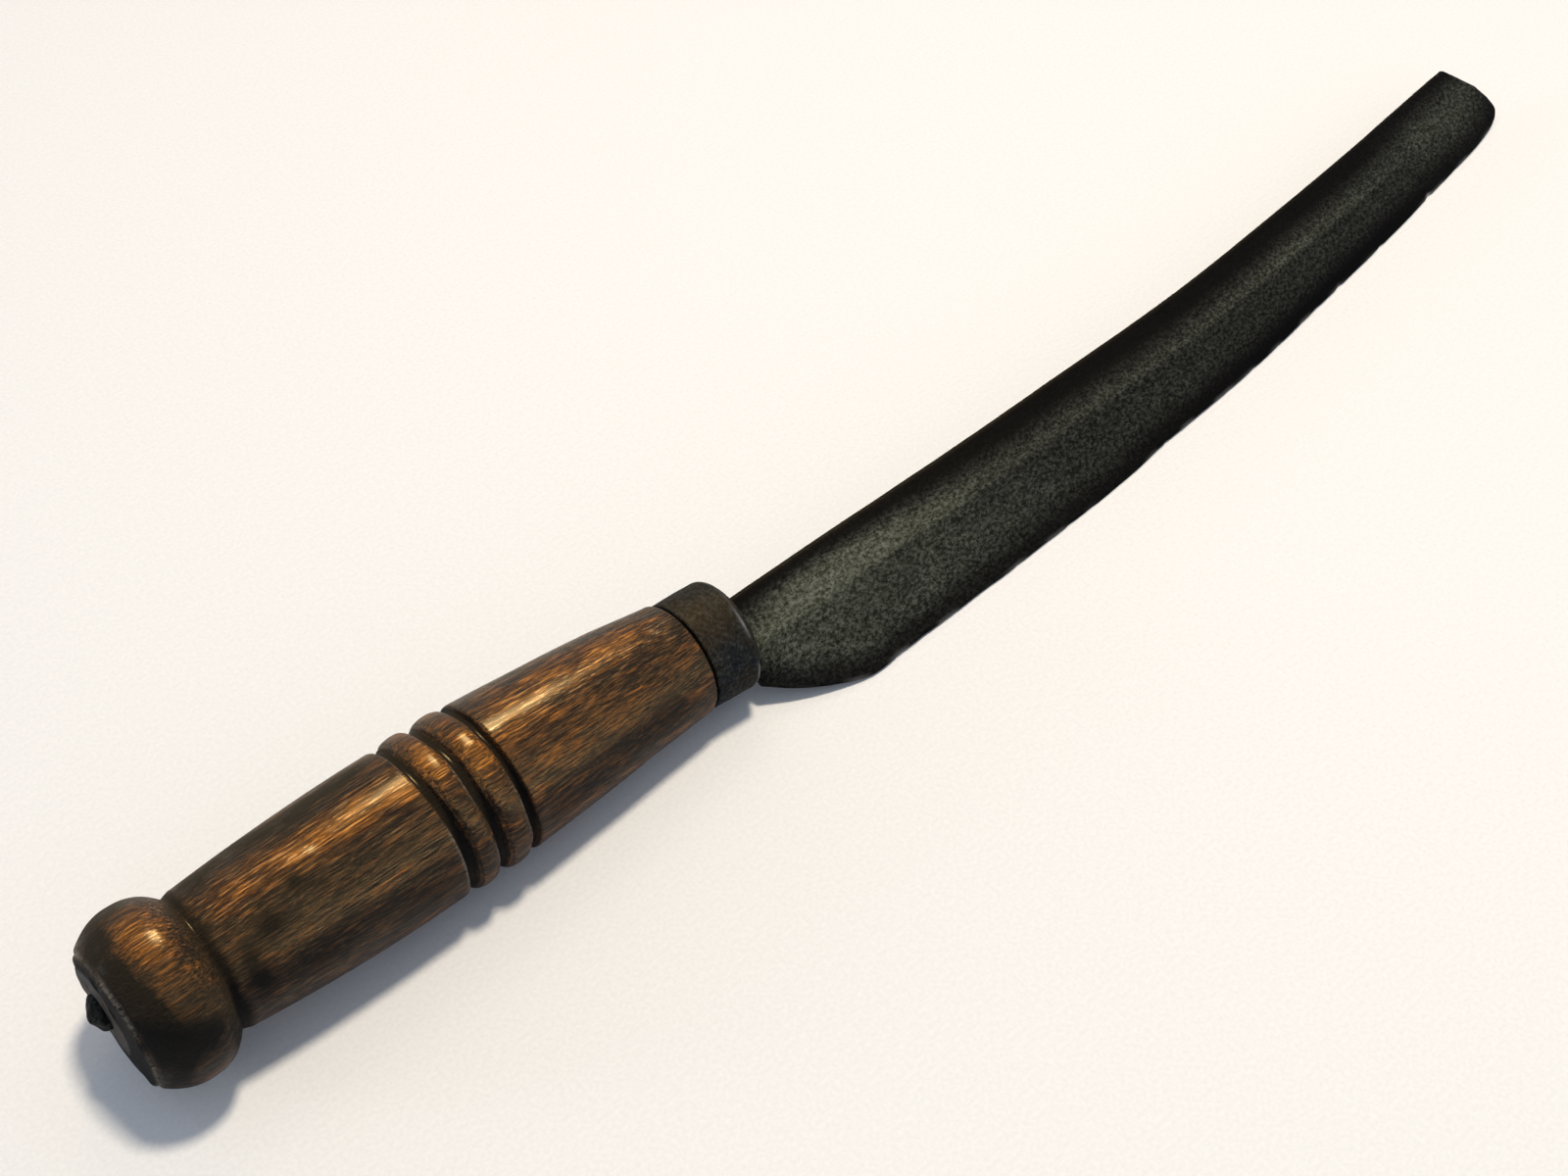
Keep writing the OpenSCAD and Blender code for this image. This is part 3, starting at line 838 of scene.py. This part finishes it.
def nick_depth(x):
    """How deep the edge is nicked: 18 small nicks and the three largest of the photo."""
    rng = np.random.default_rng(7)
    total = np.zeros_like(x)
    for _ in range(18):
        at, size, depth = rng.uniform(112, 378), rng.uniform(0.8, 2.0), rng.uniform(0.04, 0.18)
        total += depth * bump(x, at, size)
    for at, size, depth in NICKS:
        total += depth * bump(x, at, size)
    return total


def make_blade(material):
    """One forging: the riveted tang end, the tang, the shoulder and the blade."""
    spans = blade_spans()
    rings = tang_rings() + [blade_ring(*span) for span in spans] + tip_rings(*spans[-1])
    x, y, z, grey_and_sheen, from_edge = np.array([point for ring in rings for point in ring]).T

    on_blade = smooth(x, 84, 92)
    z = z + on_blade * (0.10 * waves(31, 14, 0.03, 0.14, x, y) + 0.035 * waves(32, 18, 0.15, 0.6, x, y))
    filed = 0.20 * waves(33, 8, 0.03, 0.10, x) + 0.05 * waves(34, 10, 0.15, 0.4, x)
    filed = filed * (0.3 + 0.7 * np.exp(-from_edge / 8))
    y = y + on_blade * (filed + nick_depth(x) * bump(from_edge, 0, 1.4))
    hammered = smooth(WASHER_OUT - x, -0.2, 1.0)
    y = y + hammered * 0.35 * waves(41, 10, 0.3, 1.1, y, z)
    z = z + hammered * 0.35 * waves(42, 10, 0.3, 1.1, y, x)
    x = x + hammered * 0.30 * waves(43, 10, 0.3, 1.2, y, z)
    # Bare steel along the ground edge and in the largest nick.
    ground = bump(from_edge, 0, 0.35) * on_blade
    bare = ground * (0.25 * smooth(waves(44, 12, 0.05, 0.5, x), -0.2, 1.2) + 0.8 * bump(x, NICKS[-1][0], 1.4))

    points = np.column_stack([x, y, z])
    faces = ring_faces(len(rings), sum(SIDE_POINTS))
    piece = mesh_object("forged_blade", points, faces, "blade", material)
    add_attributes(piece, points, bare=bare, rubbed=grey_and_sheen)


# ---------------------------------------------------------------- washer
WASHER_T, WASHER_DISH = 1.6, 0.25
WASHER_HOLE_R = 3.1
WASHER_EDGE = (0.7, 0.5)          # its rounded edge: along the handle, and inwards
WASHER_AROUND = 144


def washer_outline():
    """The washer as [x, radius] points, from the hole's inner lip over its edge to the outer lip."""
    rows = [(WASHER_OUT + WASHER_T, WASHER_HOLE_R), (WASHER_OUT + WASHER_T, WASHER_R - 0.4)]
    for a in np.radians(np.arange(-80, 91, 17)):
        rows.append((WASHER_OUT + 0.9 - WASHER_EDGE[0] * math.sin(a),
                     WASHER_R - WASHER_EDGE[1] + WASHER_EDGE[1] * math.cos(a)))
    rows += [(WASHER_OUT + WASHER_DISH * (r / WASHER_R) ** 2, r)
             for r in spaced(WASHER_R - 0.8, WASHER_HOLE_R, 0.35)]
    return np.array(rows)


def make_washer(material):
    """A hand-cut washer, dished by the riveting, with hammer marks."""
    outline = washer_outline()
    x, r, a = lathe(outline, WASHER_AROUND)
    hand_cut = 0.35 * np.cos(5 * a + 0.4) + 0.2 * np.cos(3 * a + 2.0) + 0.12 * np.cos(11 * a)
    r = r + smooth(r, 5, 9) * hand_cut
    y, z = TANG_DRIFT + r * np.cos(a), r * np.sin(a)
    x = x + 0.10 * waves(51, 14, 0.3, 1.3, y, z) * smooth(r, 3.2, 5)
    points = np.column_stack([x, y, z])
    piece = mesh_object("tang_end_washer", points, ring_faces(len(outline), WASHER_AROUND, False),
                        "tang_washer", material)
    add_attributes(piece, points)


# ---------------------------------------------------------------- table, light and camera
TABLE_REACH = 4.0                 # metres each way
SENSOR_WIDTH = 36.0
CAMERA_PLACE = (-0.0936, -0.2125, 0.3301)
CAMERA_AZIMUTH, CAMERA_ELEVATION = math.radians(-42.1), math.radians(49.32)
CAMERA_LENS = 45.0


def make_table(material, level):
    """A flat table top at the given level, in metres."""
    bm = bmesh.new()
    bmesh.ops.create_grid(bm, x_segments=8, y_segments=8, size=TABLE_REACH)
    mesh = bpy.data.meshes.new("table_top")
    bm.to_mesh(mesh)
    bm.free()
    mesh.materials.append(material)
    table = bpy.data.objects.new("table_top", mesh)
    table.location = (0, 0, level)
    bpy.context.collection.objects.link(table)
    table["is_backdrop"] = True


def soft_light(name, direction, distance, size, watts, colour):
    """A round area lamp in the given direction from the tool's middle, facing it."""
    light = bpy.data.lights.new(name, "AREA")
    light.shape = "DISK"
    light.size = size
    light.energy = watts
    light.color = colour
    lamp = bpy.data.objects.new(name, light)
    towards = Vector(direction).normalized()
    lamp.location = (CAD_BOX[0] + CAD_BOX[1]) / 2 + towards * distance
    lamp.rotation_mode = "QUATERNION"
    lamp.rotation_quaternion = towards.to_track_quat("Z", "Y")
    bpy.context.collection.objects.link(lamp)
    return lamp


def make_lights():
    """A lamp overhead, a warm far lamp that only gives highlights, a window's glow and a dim sky."""
    overhead = soft_light("overhead_lamp", (0.15, -0.01, 0.98), distance=1.5, size=0.22, watts=17,
                          colour=(1.0, 0.915, 0.79))
    overhead.visible_glossy = False
    far = soft_light("far_lamp", (0.31, 0.47, 0.83), distance=1.6, size=0.44, watts=150,
                     colour=(1.0, 0.68, 0.30))
    far.visible_diffuse = False
    soft_light("left_window", (-0.81, 0.54, 0.23), distance=2.2, size=0.5, watts=5,
               colour=(0.72, 0.84, 1.0))
    world = bpy.data.worlds.new("room")
    world.use_nodes = True
    sky = world.node_tree.nodes["Background"]
    sky.inputs["Color"].default_value = (0.70, 0.80, 1.0, 1.0)
    sky.inputs["Strength"].default_value = 0.50
    bpy.context.scene.world = world
    bpy.context.scene.view_settings.view_transform = "Standard"


def make_camera():
    """The photo's viewpoint, as fitted from the handle's turned rings."""
    camera = bpy.data.objects.new("camera", bpy.data.cameras.new("camera"))
    camera.data.lens = CAMERA_LENS
    camera.data.sensor_width = SENSOR_WIDTH
    camera.data.clip_start = 0.01
    camera.location = CAMERA_PLACE
    camera.rotation_euler = (math.pi / 2 - CAMERA_ELEVATION, 0, CAMERA_AZIMUTH)
    bpy.context.collection.objects.link(camera)
    bpy.context.scene.camera = camera


make_camera()
make_lights()
make_handle(old_turned_wood())
make_ferrule(ferrule_steel())
make_blade(black_forged_steel())
make_washer(rusted_washer_steel())
make_table(pale_table(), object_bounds()[0][2])
